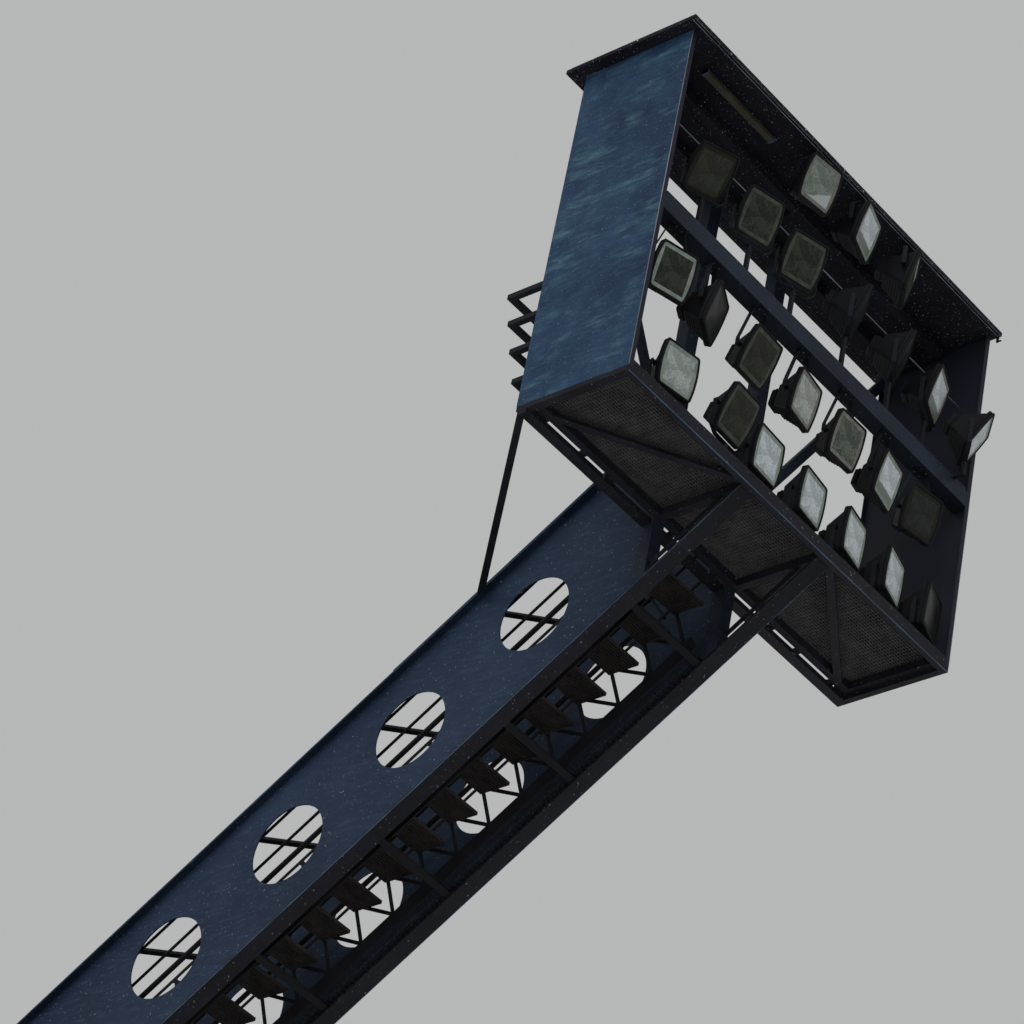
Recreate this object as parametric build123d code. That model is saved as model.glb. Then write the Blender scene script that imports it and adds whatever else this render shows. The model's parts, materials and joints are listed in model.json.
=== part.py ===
from build123d import *
from math import atan2, cos, degrees, hypot, radians, sin, tan
import os

# Stadium floodlight pylon: a leaning twin-girder mast with a stair inside it, and a lamp head on top.
# X is across the head, Z is up, and the mast rises towards -Y. The origin is on the underside of the
# base plate, midway between the two girders.

# Mast
lean = 35.0                  # angle of the mast above the ground, degrees
bay_count = 6
bay_pitch = 1440.0           # from one lightening hole to the next
top_run = 660.0              # plain length from the head floor to the first bay
girder_depth = 1460.0
girder_spacing = 1070.0      # between the middles of the two webs
web_thick = 12.0
flange_wide = 160.0
flange_thick = 20.0
top_hole_size = 735.0        # lightening hole nearest the head
hole_growth = 21.0           # each hole is this much larger than the one above it
hole_height = 767.0          # from the front face of the girder to the hole's middle
web_end_gap = 25.0           # the web stops this far short of the rear post
web_toe_gap = 25.0           # there its lower edge is cut clear of the front flange
web_toe_long = 350.0

# Base
base_thick = 30.0
base_margin_x = 110.0
base_margin_y = 110.0
anchor_hole_size = 33.0
anchor_edge = 50.0
base_window_wide = 620.0
base_window_long = 880.0
base_strap = 220.0           # width of the middle strap that the origin lies on
gusset_thick = 15.0
gusset_reach = 90.0
gusset_tall = 190.0
gusset_places = (-0.60, -0.20, 0.20, 0.60)

# Back bracing and cross beams
brace_bar = 42.0
brace_low_offset = 455.0     # left end of a diagonal, down the mast from a hole's middle
brace_high_offset = -215.0   # right end of a diagonal
brace_node_gap = 34.0
cross_beam_wide = 60.0
last_beam_shift = 360.0      # the lowest beam stands this much higher, clear of the base plate

# Stair
tread_count = 26
tread_pitch = 375.0          # along the mast
first_tread = 1036.0         # front edge of the top tread, down the mast from the head floor
tread_height = 430.0         # front edge of a tread, from the front face of the girder
tread_going = 320.0
tread_thick = 32.0
tread_slots = 5
tread_bar_thick = 10.0
stair_half_width = 345.0     # inner face of the stair trusses
truss_thick = 10.0
truss_chord_low = 85.0
truss_chord_wide = 150.0
truss_top_low = 695.0
truss_top_wide = 30.0
truss_bar = 33.0
truss_top_start = 780.0
truss_node_rise = 120.0
truss_node_fall = 290.0
truss_node_shift = 47.0      # from a tread's edge back up to its node

# Handrails
rail_size = 27.0
kick_rail_size = 48.0
kick_rail_height = 830.0
knee_rail_height = 1040.0
hand_rail_height = 1340.0
kick_rail_start = 900.0      # the kick rail starts this far down the mast from the rear posts
rail_sides = 8
foot_post_rise = 720.0       # the lowest post, up the mast from the hand rail's foot

# Services on the mast
tray_wide = 80.0
tray_deep = 60.0
tray_wall = 4.0
tray_side = 479.0
tray_foot_gap = 360.0        # the tray ends this far above the base plate, along the mast
conduit_size = 25.0
conduit_low = 3400.0
conduit_clips = (0.12, 0.5, 0.88)
box_runs = (3900.0, 6300.0)
box_long = 260.0
box_wide = 112.0
box_deep = 90.0

# Head
head_wide = 4500.0
head_deep = 1160.0
head_tall = 3700.0
head_overhang = 60.0         # front face of the head ahead of the mast's front flange
panel_sheet = 6.0
panel_rim = 50.0
roof_over_left = 110.0
roof_over_right = 35.0
roof_over_front = 100.0
roof_over_back = 80.0
roof_thick = 42.0
roof_beam = 80.0
roof_beam_setback = 480.0    # front roof beam behind the head's front face, clear of the lamps
floor_beam_tall = 80.0
floor_front_beam = 66.0
floor_back_beam = 70.0
floor_edge_drop = 50.0       # the edge beams hang this far below the panels
floor_edge_wide = 60.0
floor_slit = 25.0            # between the back beam and the edge beam
floor_brackets = (300.0, 1120.0, 1500.0, 2000.0)
floor_bracket = 45.0
floor_brace = 70.0
grating_thick = 30.0
grating_margin = 8.0
mid_beam_tall = 157.0
mid_beam_deep = 160.0
mid_beam_wall = 8.0
mid_beam_middle = 1800.0     # above the head floor's underside
post_middle = 500.0
post_wide = 140.0
post_deep = 125.0
post_back_gap = 5.0          # back face of the posts inside the head's back face
rear_brace_wide = 90.0
rear_brace_deep = 50.0
rear_brace_low = 900.0
rear_brace_top_gap = 140.0   # the braces meet the panels this far below the roof
hanger_bar = 45.0
hanger_low = 150.0
strut_size = 62.0
strut_foot = 2360.0          # down the mast from the head floor
strut_rise = 15.0            # its top end is set this far up, and cut level under the back beam

# Guard behind the head
guard_size = 50.0
guard_exit_half = 640.0
guard_inset = 30.0
guard_reach = (360.0, 290.0, 200.0, 100.0)
guard_height = (1340.0, 1020.0, 680.0, 320.0)

# Batten light under the roof
batten_left = -1810.0
batten_long = 980.0
batten_wide = 60.0
batten_deep = 40.0
batten_setback = 175.0

# Lamps
lamp_wide = 400.0
lamp_tall = 450.0
lamp_bulge = 22.0
lamp_rim = 60.0
lamp_front = 110.0           # from the pivot to the front of the rim
lamp_body = 180.0
lamp_shoulder = 33.0         # the body is this much narrower than the rim on each side
lamp_back_wide = 210.0
lamp_back_tall = 230.0
lamp_box_wide = 150.0
lamp_box_tall = 170.0
lamp_box_long = 90.0
boss_size = 44.0
boss_long = 12.0
stirrup_gap = 0.3
stirrup_strap = 40.0
stirrup_thick = 6.0
stand_size = 35.0
stand_arm = 12.0

# Rows of lamps: the top row hangs from the roof, the next two stand on and hang from the mid lamp
# beam, and the bottom row stands on the grating
short_drop = 310.0           # from the pivots to the far side of the stirrup
long_drop = 496.5
upper_stand = 376.5          # from the beam to the upper row's stirrups
top_setback = 10.0           # pivots behind the head's front face
bottom_setback = 135.0

run_sin = sin(radians(lean))
run_cos = cos(radians(lean))
front_length = top_run + bay_pitch / 2 + bay_count * bay_pitch
head_z = front_length * run_sin
foot_long = girder_depth / run_sin
foot_front = -foot_long / 2
mast_top_y = foot_front - front_length * run_cos
head_front = mast_top_y - head_overhang
head_back = head_front + head_deep
head_half = head_wide / 2
web_middle = girder_spacing / 2
post_back = head_back - post_back_gap
post_front = post_back - post_deep
inner_half = head_half - panel_sheet
first_hole = top_run + bay_pitch

os.makedirs("parts", exist_ok=True)


def keep(name, shape):
    """Write one sub-part. Its file name is the name of its node."""
    export_step(shape, f"parts/{name}.step")


def mast_point(x, depth, run):
    """A point of the mast: depth from the front flange's face, run down the mast from the head floor."""
    y = mast_top_y + depth * run_sin + run * run_cos
    z = head_z + depth * run_cos - run * run_sin
    return Vector(x, y, z)


def mast_plane(x):
    """The side view of the mast: local X runs down the mast and local Y is the depth."""
    return Plane(origin=mast_point(x, 0, 0), x_dir=(0, run_cos, -run_sin), z_dir=(1, 0, 0))


def run_at_height(depth, height):
    """How far down the mast a line at this depth meets a level height above the ground."""
    return front_length + depth / tan(radians(lean)) - height / run_sin


def run_at_y(depth, y):
    """How far down the mast a line at this depth meets an upright plane."""
    return (y - mast_top_y - depth * run_sin) / run_cos


def mast_plate(x, thick, outline):
    """A plate in the side view, centred on x. The outline holds pairs of run and depth."""
    face = mast_plane(x) * make_face(Polyline(*outline, close=True))
    return extrude(face, thick / 2, both=True)


def box_between(low, high):
    """A box from its low corner to its high corner."""
    size = [high[axis] - low[axis] for axis in range(3)]
    middle = [(high[axis] + low[axis]) / 2 for axis in range(3)]
    return Pos(*middle) * Box(*size)


def bar_between(start, end, size):
    """A many-sided bar from one point to another."""
    ends = Plane(origin=start, z_dir=end - start)
    return extrude(ends * RegularPolygon(size / 2, rail_sides), (end - start).length)


def bar_in_plane(plane, start, end, wide, thick):
    """A flat bar between two points of a plane, with square ends."""
    middle = ((start[0] + end[0]) / 2, (start[1] + end[1]) / 2)
    long = hypot(end[0] - start[0], end[1] - start[1])
    angle = degrees(atan2(end[1] - start[1], end[0] - start[0]))
    return extrude(plane * Pos(*middle) * Rot(0, 0, angle) * Rectangle(long, wide), thick / 2, both=True)


def above_base(shape):
    """The part of a shape that stands on the base plate."""
    return split(shape, Plane.XY.offset(base_thick), keep=Keep.TOP)


# Girders: two plate girders with round holes that grow towards the foot
def girder_web(side):
    low = flange_thick
    toe = low + web_toe_gap
    high = girder_depth - flange_thick
    cut_y = post_back + web_end_gap
    start = run_at_y(toe, cut_y)
    outline = [
        (start, toe),
        (start + web_toe_long, toe),
        (start + web_toe_long, low),
        (run_at_height(low, base_thick), low),
        (run_at_height(high, base_thick), high),
        (run_at_y(high, cut_y), high),
    ]
    x = side * web_middle
    web = mast_plate(x, web_thick, outline)
    for bay in range(bay_count):
        place = (first_hole + bay * bay_pitch, hole_height)
        radius = (top_hole_size + bay * hole_growth) / 2
        web -= extrude(mast_plane(x) * Pos(*place) * Circle(radius), web_thick, both=True)
    return web


def front_flange(side):
    """The front flange runs from under the head floor to the base, with a hanger above it."""
    x = side * web_middle
    flange = mast_plate(x, flange_wide, [
        (0, 0),
        (run_at_height(0, base_thick), 0),
        (run_at_height(flange_thick, base_thick), flange_thick),
        (flange_thick / tan(radians(lean)), flange_thick),
    ])
    high = hanger_low + hanger_bar
    hanger = mast_plate(x, web_thick, [
        (hanger_low / tan(radians(lean)), hanger_low),
        (run_at_y(hanger_low, post_front), hanger_low),
        (run_at_y(high, post_front), high),
        (high / tan(radians(lean)), high),
    ])
    return Compound([flange, hanger])


def back_flange(side):
    low = girder_depth - flange_thick
    return mast_plate(side * web_middle, flange_wide, [
        (run_at_y(low, post_back), low),
        (run_at_height(low, base_thick), low),
        (run_at_height(girder_depth, base_thick), girder_depth),
        (run_at_y(girder_depth, post_back), girder_depth),
    ])


# Lacing between the two girders
def back_bracing():
    """Diagonal bars under the back flanges, each ending a little before its neighbour."""
    depth = girder_depth - flange_thick - brace_bar / 2
    half = web_middle - web_thick / 2
    plane = Plane(origin=mast_point(0, depth, 0), x_dir=(1, 0, 0), z_dir=(0, run_sin, run_cos))
    across = extrude(plane * Rectangle(2 * half, 4 * front_length), brace_bar / 2, both=True)
    bars = []
    for bay in range(bay_count):
        hole = first_hole + bay * bay_pitch
        left = hole + brace_low_offset - brace_node_gap
        right = hole + brace_high_offset + brace_node_gap
        next_left = hole - bay_pitch + brace_low_offset + brace_node_gap
        bars.append(((-web_middle, left), (web_middle, right)))
        bars.append(((web_middle, right - 2 * brace_node_gap), (-web_middle, next_left)))
    return Compound([
        (bar_in_plane(plane, start, end, brace_bar, brace_bar) & across).solid() for start, end in bars
    ])


def cross_beams():
    """Square tubes between the webs at the bay ends, which carry the stair trusses."""
    half = web_middle - web_thick / 2
    deep = truss_chord_low - flange_thick
    beams = []
    for bay in range(bay_count + 1):
        run = top_run + bay_pitch / 2 + bay * bay_pitch - cross_beam_wide / 2
        if bay == bay_count:
            run -= last_beam_shift
        outline = [
            (run, flange_thick),
            (run + cross_beam_wide, flange_thick),
            (run + cross_beam_wide, flange_thick + deep),
            (run, flange_thick + deep),
        ]
        beams.append(mast_plate(0, 2 * half, outline))
    return Compound(beams)


# Stair inside the mast
def tread_edge(number):
    """Front edge of a tread, as a point at x = 0."""
    return mast_point(0, tread_height, first_tread + number * tread_pitch)


def stair_truss(side):
    """A flat truss: a plate chord below, a thin chord above, and two bars to each tread."""
    x = side * (stair_half_width + truss_thick / 2)
    foot = truss_chord_low + truss_chord_wide
    top = truss_top_low + truss_top_wide
    low_start = run_at_y(truss_chord_low, post_back)
    truss = mast_plate(x, truss_thick, [
        (low_start, truss_chord_low),
        (run_at_height(truss_chord_low, base_thick), truss_chord_low),
        (run_at_height(foot, base_thick), foot),
        (low_start, foot),
    ])
    truss += mast_plate(x, truss_thick, [
        (truss_top_start, truss_top_low),
        (run_at_height(truss_top_low, base_thick), truss_top_low),
        (run_at_height(top, base_thick), top),
        (truss_top_start, top),
    ])
    plane = mast_plane(x)
    low = truss_chord_low + truss_chord_wide - truss_bar / 2
    high = truss_top_low + truss_bar / 2
    for number in range(tread_count):
        node = first_tread + (number + 1) * tread_pitch - truss_node_shift
        up = (node - truss_node_rise, high)
        down = (node + truss_node_fall, high)
        truss += bar_in_plane(plane, (node, low), up, truss_bar, truss_thick)
        if number < tread_count - 1:
            truss += bar_in_plane(plane, (node, low), down, truss_bar, truss_thick)
    return above_base(truss)


def treads(numbers):
    """Level open treads between the trusses: bars from side to side, joined at their ends."""
    half = stair_half_width
    slot_long = 2 * half - 2 * tread_bar_thick
    slot_wide = (tread_going - (tread_slots + 1) * tread_bar_thick) / tread_slots
    flights = []
    for number in numbers:
        edge = tread_edge(number)
        plate = box_between(
            (-half, edge.Y, edge.Z),
            (half, edge.Y + tread_going, edge.Z + tread_thick),
        )
        middle = Vector(0, edge.Y + tread_going / 2, edge.Z + tread_thick / 2)
        spots = GridLocations(0, slot_wide + tread_bar_thick, 1, tread_slots)
        for spot in spots:
            plate -= Pos(middle) * spot * Box(slot_long, slot_wide, 2 * tread_thick)
        flights.append(plate.solid())
    return Compound(flights)


def handrail(side):
    """A kick rail, a knee rail and a hand rail on posts at the bay ends."""
    x = side * (stair_half_width + truss_thick + rail_size / 2)
    rails = []
    for height, size in ((kick_rail_height, kick_rail_size), (knee_rail_height, rail_size),
                         (hand_rail_height, rail_size)):
        start = run_at_y(height, post_back) + kick_rail_start * (height == kick_rail_height)
        end = run_at_height(height, 0)
        rails.append(bar_between(mast_point(x, height, start), mast_point(x, height, end), size))
    joined = rails[0] + rails[1] + rails[2]
    for bay in range(bay_count):
        run = top_run + bay_pitch / 2 + bay * bay_pitch
        low = mast_point(x, truss_top_low, run)
        joined += bar_between(low, mast_point(x, hand_rail_height, run), rail_size)
    low = truss_top_low
    end = run_at_height(hand_rail_height, base_thick) - foot_post_rise
    joined += bar_between(mast_point(x, low, end), mast_point(x, hand_rail_height, end), rail_size)
    return above_base(joined)


# Services
def cable_tray():
    """An open channel on the cross beams beside the right web."""
    low = truss_chord_low
    start = run_at_y(low, post_back)
    end = run_at_height(low, base_thick) - tray_foot_gap
    middle = (start + end) / 2
    channel = Rectangle(tray_wide, tray_deep) - Pos(0, tray_wall) * Rectangle(tray_wide - 2 * tray_wall, tray_deep)
    plane = Plane(origin=mast_point(tray_side, low + tray_deep / 2, middle), x_dir=(1, 0, 0),
                  z_dir=(0, run_cos, -run_sin))
    return extrude(plane * Rot(0, 0, 180) * channel, (end - start) / 2, both=True)


def conduit():
    """A straight pipe on two clips above the left back flange."""
    x = -web_middle - flange_wide / 2 + conduit_size
    height = girder_depth + conduit_size
    start = run_at_y(height, post_back) + conduit_size
    pipe = bar_between(mast_point(x, height, start), mast_point(x, height, conduit_low), conduit_size)
    for share in conduit_clips:
        run = start + share * (conduit_low - start)
        pipe += mast_plate(x, conduit_size, [
            (run, girder_depth),
            (run + conduit_size, girder_depth),
            (run + conduit_size, height),
            (run, height),
        ])
    return pipe


def junction_boxes():
    """Two boxes on the outer face of the left back flange."""
    boxes = []
    for run in box_runs:
        boxes.append(mast_plate(-web_middle, box_wide, [
            (run, girder_depth),
            (run + box_long, girder_depth),
            (run + box_long, girder_depth + box_deep),
            (run, girder_depth + box_deep),
        ]))
    return Compound(boxes)


# Base
base_half_x = web_middle + flange_wide / 2 + base_margin_x
base_half_y = foot_long / 2 + base_margin_y


def base_plate():
    """One plate under both girders, with two windows and a row of anchor holes on each side."""
    plate = box_between((-base_half_x, -base_half_y, 0), (base_half_x, base_half_y, base_thick))
    for side in (-1, 1):
        place = side * (base_strap + base_window_long) / 2
        plate -= Pos(0, place, 0) * Box(base_window_wide, base_window_long, 4 * base_thick)
    step = (2 * base_half_y - 2 * anchor_edge) / 5
    for spot in GridLocations(2 * base_half_x - 2 * anchor_edge, step, 2, 6):
        plate -= spot * Cylinder(anchor_hole_size / 2, 4 * base_thick)
    return plate


def base_gussets():
    """Triangular stiffeners between the outer faces of the webs and the base plate."""
    plates = []
    for side in (-1, 1):
        start = side * (web_middle + web_thick / 2)
        for share in gusset_places:
            y = share * foot_long / 2
            plane = Plane(origin=(start, y, base_thick), x_dir=(side, 0, 0), z_dir=(0, -side, 0))
            outline = Polyline((0, 0), (gusset_reach, 0), (gusset_reach, gusset_thick), (0, gusset_tall), close=True)
            plates.append(extrude(plane * make_face(outline), gusset_thick / 2, both=True))
    return Compound(plates)


# Head
def side_panel(side):
    """A sheet panel with its four rims folded inwards."""
    low_x = head_half - panel_rim
    solid = box_between((low_x, head_front, head_z), (head_half, head_back, head_z + head_tall))
    hollow = box_between(
        (low_x - panel_rim, head_front + panel_sheet, head_z + panel_sheet),
        (inner_half, head_back - panel_sheet, head_z + head_tall - panel_sheet),
    )
    panel = solid - hollow
    return panel if side > 0 else mirror(panel, Plane.YZ)


def roof_sheet():
    low = (-head_half - roof_over_left, head_front - roof_over_front, head_z + head_tall)
    high = (head_half + roof_over_right, head_back + roof_over_back, head_z + head_tall + roof_thick)
    return box_between(low, high)


def roof_frame():
    """Two long beams and three short ones under the roof sheet."""
    top = head_z + head_tall
    low = top - roof_beam
    half = head_half - panel_rim
    front = head_front + roof_beam_setback
    frame = box_between((-half, front, low), (half, front + roof_beam, top))
    frame += box_between((-half, post_front - roof_beam, low), (half, post_front, top))
    for x in (-half + roof_beam / 2, 0, half - roof_beam / 2):
        frame += box_between((x - roof_beam / 2, front, low), (x + roof_beam / 2, post_front, top))
    return frame


def floor_frame():
    """Front, back and side beams, two bearers on the mast's flanges and two diagonals, and edge beams
    below them all round. The back one stands off on brackets, and the posts interrupt it."""
    half = head_half - panel_rim
    top = head_z + floor_beam_tall
    back = post_front
    frame = box_between((-half, head_front, head_z), (half, head_front + floor_front_beam, top))
    frame += box_between((-half, back - floor_back_beam, head_z), (half, back, top))
    bearers = (-half + floor_brace / 2, -web_middle, web_middle, half - floor_brace / 2)
    for x in bearers:
        frame += box_between((x - floor_brace / 2, head_front, head_z), (x + floor_brace / 2, back, top))
    plane = Plane(origin=(0, 0, head_z + floor_brace / 4), x_dir=(1, 0, 0), z_dir=(0, 0, 1))
    front = head_front + floor_front_beam / 2
    for side in (-1, 1):
        near = (side * web_middle, front)
        far = (side * (half - floor_brace / 2), back + floor_slit + floor_brace / 2)
        frame += bar_in_plane(plane, near, far, floor_brace, floor_brace / 2)
    low = head_z - floor_edge_drop
    edge = back + floor_slit
    frame += box_between((-head_half, head_front, low), (head_half, head_front + floor_edge_wide, head_z))
    frame += box_between((-head_half, edge, low), (head_half, post_back, head_z))
    for side in (-1, 1):
        middle = (side * (head_half - floor_edge_wide / 2), (head_front + post_back) / 2, (low + head_z) / 2)
        frame += Pos(*middle) * Box(floor_edge_wide, post_back - head_front, floor_edge_drop)
        gap = Box(post_wide, post_back - edge, 4 * floor_edge_drop)
        frame -= Pos(side * post_middle, (edge + post_back) / 2, head_z) * gap
        for share in floor_brackets:
            x = side * share
            frame += box_between(
                (x - floor_bracket / 2, back, head_z),
                (x + floor_bracket / 2, edge + floor_bracket, head_z + floor_bracket),
            )
    return frame


def floor_grating():
    """The walkway's grating, laid on the floor frame between the side panels and ahead of the posts."""
    half = head_half - panel_rim - grating_margin
    low = head_z + floor_beam_tall
    return box_between(
        (-half, head_front + floor_front_beam + grating_margin, low),
        (half, post_front - grating_margin, low + grating_thick),
    )


def mid_lamp_beam():
    """A hollow square beam across the front of the head."""
    low = head_z + mid_beam_middle - mid_beam_tall / 2
    half = inner_half
    beam = box_between((-half, head_front, low), (half, head_front + mid_beam_deep, low + mid_beam_tall))
    wall = mid_beam_wall
    beam -= box_between(
        (-half, head_front + wall, low + wall),
        (half, head_front + mid_beam_deep - wall, low + mid_beam_tall - wall),
    )
    for side in (-1, 1):
        rim = side * (head_half - panel_rim / 2)
        notch = Box(panel_rim, 2 * panel_sheet, 2 * mid_beam_tall)
        beam -= Pos(rim, head_front, low + mid_beam_tall / 2) * notch
    return beam


def rear_posts():
    """Two square posts from the girders' front flanges to the roof."""
    posts = []
    for side in (-1, 1):
        x = side * post_middle
        slope = Plane(origin=mast_point(x, flange_thick, 0), x_dir=(1, 0, 0), z_dir=(0, run_sin, run_cos))
        post = box_between(
            (x - post_wide / 2, post_front, head_z - 2 * head_deep),
            (x + post_wide / 2, post_back, head_z + head_tall),
        )
        post = split(post, slope, keep=Keep.TOP)
        posts.append(post.solid())
    return Compound(posts)


def rear_braces():
    """Diagonals in the back of the head, from the posts up to the outer corners."""
    y = post_back - rear_brace_deep / 2
    plane = Plane(origin=(0, y, head_z), x_dir=(1, 0, 0), z_dir=(0, -1, 0))
    inner = post_middle + post_wide / 2
    outer = head_half - panel_rim
    field = box_between((inner, y - head_deep, head_z), (outer, y + head_deep, head_z + head_tall))
    reach = outer - inner
    rear_brace_high = head_tall - rear_brace_top_gap
    slope = (rear_brace_high - rear_brace_low) / reach
    start = (inner - rear_brace_wide, rear_brace_low - slope * rear_brace_wide)
    end = (outer + rear_brace_wide, rear_brace_high + slope * rear_brace_wide)
    brace = (bar_in_plane(plane, start, end, rear_brace_wide, rear_brace_deep) & field).solid()
    return Compound([brace, mirror(brace, Plane.YZ)])


def outrigger_struts():
    """A square strut from the left girder's back flange up to the lower back corner of the head."""
    top = head_z - floor_edge_drop
    foot = mast_point(-web_middle - flange_wide / 2, girder_depth - flange_thick / 2, strut_foot)
    corner = Vector(-head_half + strut_size / 2, post_back - strut_size / 2, top - strut_size / 2 + strut_rise)
    way = corner - foot
    bar = bar_in_plane(
        Plane(origin=foot, x_dir=way, z_dir=(way.Y, -way.X, 0)),
        (-2 * strut_size, 0), (way.length + 2 * strut_size, 0), strut_size, strut_size,
    )
    space = box_between((-head_half, head_front, 0), (foot.X, foot.Y + head_deep, top))
    return (bar & space).solid()


def rear_guard():
    """Four rails round the back of the head, open at the stair, with returns to the side panels."""
    rails = []
    x_out = head_half - guard_inset
    for reach, height in zip(guard_reach, guard_height):
        y = head_back + reach
        z = head_z + height
        for side in (-1, 1):
            path = Polyline(
                (side * guard_exit_half, y, z),
                (side * x_out, y, z),
                (side * x_out, head_back, z),
            )
            start = Plane(origin=path @ 0, z_dir=path % 0)
            rails.append(sweep(start * Rectangle(guard_size, guard_size), path, transition=Transition.RIGHT))
    uprights = []
    low = (head_back + guard_reach[-1], head_z + guard_height[-1])
    high = (head_back + guard_reach[0], head_z + guard_height[0])
    for side in (-1, 1):
        for x in (guard_exit_half + guard_size / 2, (guard_exit_half + x_out) / 2):
            plane = Plane(origin=(side * x, 0, 0), x_dir=(0, 1, 0), z_dir=(1, 0, 0))
            uprights.append(bar_in_plane(plane, low, high, guard_size, guard_size / 2))
    halves = []
    for index, side in enumerate((-1, 1)):
        half = uprights[2 * index] + uprights[2 * index + 1]
        for rail in rails[index::2]:
            half += rail
        halves.append(half.solid())
    return Compound(halves)


def strip_light():
    """A batten light on the underside of the roof at the left."""
    low = head_z + head_tall - batten_deep
    y = head_front + batten_setback
    return box_between((batten_left, y, low), (batten_left + batten_long, y + batten_wide, low + batten_deep))


# Each row has its pivots' height above the head floor and setback from the head's front face, its
# stirrups' way and drop, and where they are seated. Each lamp is its place along X, its pan towards
# +X and its tilt up in degrees, and how far its pivot is above and ahead of its row's.
beam_top = mid_beam_middle + mid_beam_tall / 2
beam_low = mid_beam_middle - mid_beam_tall / 2
walk_top = floor_beam_tall + grating_thick
lamp_rows = {
    "top": {
        "height": head_tall - short_drop, "setback": top_setback, "way": 1, "drop": short_drop,
        "knee": 150.0, "seat_half": 80.0, "seat": head_tall,
        "lamps": ((-430, -7, -17, 0, 0), (240, 19, -13, 0, 0), (900, 42, -13, 0, 0)),
    },
    "upper": {
        "height": beam_top + upper_stand + short_drop, "setback": mid_beam_deep / 2, "way": -1,
        "drop": short_drop, "knee": 250.0, "seat_half": 150.0, "seat": beam_top,
        "lamps": ((-1690, -22, -45, 0, 0), (-1020, -15, -19, 0, 0), (-390, -16, -20, 0, 0),
                  (365, 45, -17, 50, 0), (1030, 44, -17, 40, 0), (1575, 24, -13, 0, 0),
                  (1985, 44, -27, -230, 180)),
    },
    "lower": {
        "height": beam_low - long_drop, "setback": mid_beam_deep / 2, "way": 1, "drop": long_drop,
        "knee": 50.0, "seat_half": 80.0, "seat": beam_low,
        "lamps": ((-1930, -16, -15, 0, 0), (-1415, 28, -13, 0, 0), (-765, 3, -22, 0, 0),
                  (-135, 10, -10, 0, 0), (485, 0, -12, 0, 0), (1075, 13, -12, 0, 0),
                  (1620, -10, -13, 0, 0)),
    },
    "bottom": {
        "height": walk_top + short_drop, "setback": bottom_setback, "way": -1, "drop": short_drop,
        "knee": 250.0, "seat_half": 150.0, "seat": walk_top,
        "lamps": ((-1620, -9, -5, 0, 0), (-875, 3, -22, 110, 30), (-415, 4, -5, 0, 0),
                  (205, 8, -4, 0, 0), (810, 12, -3, 0, 0), (1390, 16, -3, 0, 0),
                  (1950, 20, -4, 0, 0)),
    },
}


def lamp_outline():
    """The rim's outline: straight top and bottom, and sides that bulge a little."""
    wide = lamp_wide / 2
    tall = lamp_tall / 2
    edge = wide - lamp_bulge
    sides = [
        Line((-edge, tall), (edge, tall)),
        ThreePointArc((edge, tall), (wide, 0), (edge, -tall)),
        Line((edge, -tall), (-edge, -tall)),
        ThreePointArc((-edge, -tall), (-wide, 0), (-edge, tall)),
    ]
    return make_face(sides)


def lamp(place, pan, tilt):
    """A flood lamp: a shallow rim, a tapered body, a gear box behind it and two pivot bosses."""
    pan = radians(pan)
    tilt = radians(tilt)
    ahead = Vector(sin(pan) * cos(tilt), -cos(pan) * cos(tilt), sin(tilt))
    frame = Plane(origin=place, x_dir=(cos(pan), sin(pan), 0), z_dir=ahead)
    body_front = lamp_front - lamp_rim
    back = body_front - lamp_body
    body = extrude(Pos(0, 0, body_front) * lamp_outline(), lamp_rim)
    body += loft([
        Pos(0, 0, body_front) * Rectangle(lamp_wide - 2 * lamp_shoulder, lamp_tall - 2 * lamp_bulge),
        Pos(0, 0, back) * Rectangle(lamp_back_wide, lamp_back_tall),
    ], ruled=True)
    body += Pos(0, 0, back - lamp_box_long / 2) * Box(lamp_box_wide, lamp_box_tall, lamp_box_long)
    inner = lamp_back_wide / 2
    outer = lamp_wide / 2 + boss_long
    for side in (-1, 1):
        body += Pos(side * (inner + outer) / 2, 0, 0) * Rot(0, 90, 0) * Cylinder(boss_size / 2, outer - inner)
    return frame * body


def strap_outline(half, knee, seat_half, drop):
    """Half a stirrup's edge and its mirror: up from the pivots to a knee, and slanting in to the seat."""
    side = [(half, -stirrup_strap / 2), (half, knee), (seat_half, drop)]
    return make_face(Polyline(*side, *[(-x, y) for x, y in reversed(side)], close=True))


def stirrup(place, pan, rule, seat, ahead):
    """A flat strap bent round the lamp, a stand where it ends off its seat, and an arm where it is ahead."""
    inner = lamp_wide / 2 + boss_long + stirrup_gap
    drop = rule["drop"]
    outside = strap_outline(inner + stirrup_thick, rule["knee"], rule["seat_half"], drop)
    inside = strap_outline(inner, rule["knee"], rule["seat_half"] - stirrup_thick / 2, drop - stirrup_thick)
    inside += Pos(0, -stirrup_strap / 2) * Rectangle(2 * inner, stirrup_strap)
    pan = radians(pan)
    way = rule["way"]
    plane = Plane(origin=place, x_dir=(way * cos(pan), way * sin(pan), 0), z_dir=(sin(pan), -cos(pan), 0))
    shape = extrude(plane * (outside - inside), stirrup_strap / 2, both=True)
    end = place.Z + way * drop
    half = stand_size / 2
    if abs(end - seat) > stirrup_thick:
        shape += box_between(
            (place.X - half, place.Y - half, min(end, seat)),
            (place.X + half, place.Y + half, max(end, seat)),
        )
    if ahead:
        shape += box_between(
            (place.X - half, place.Y - half, seat),
            (place.X + half, place.Y + ahead + half, seat + stand_arm),
        )
    return shape


def lamp_rows_parts():
    """Every lamp in its own node, and the stirrups of each row in one node."""
    for row, rule in lamp_rows.items():
        stirrups = []
        for number, (x, pan, tilt, lift, ahead) in enumerate(rule["lamps"], start=1):
            place = Vector(x, head_front + rule["setback"] - ahead, head_z + rule["height"] + lift)
            keep(f"{row}_lamp_{number}", lamp(place, pan, tilt))
            stirrups.append(stirrup(place, pan, rule, head_z + rule["seat"], ahead))
        keep(f"{row}_stirrups", Compound(stirrups))


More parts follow.
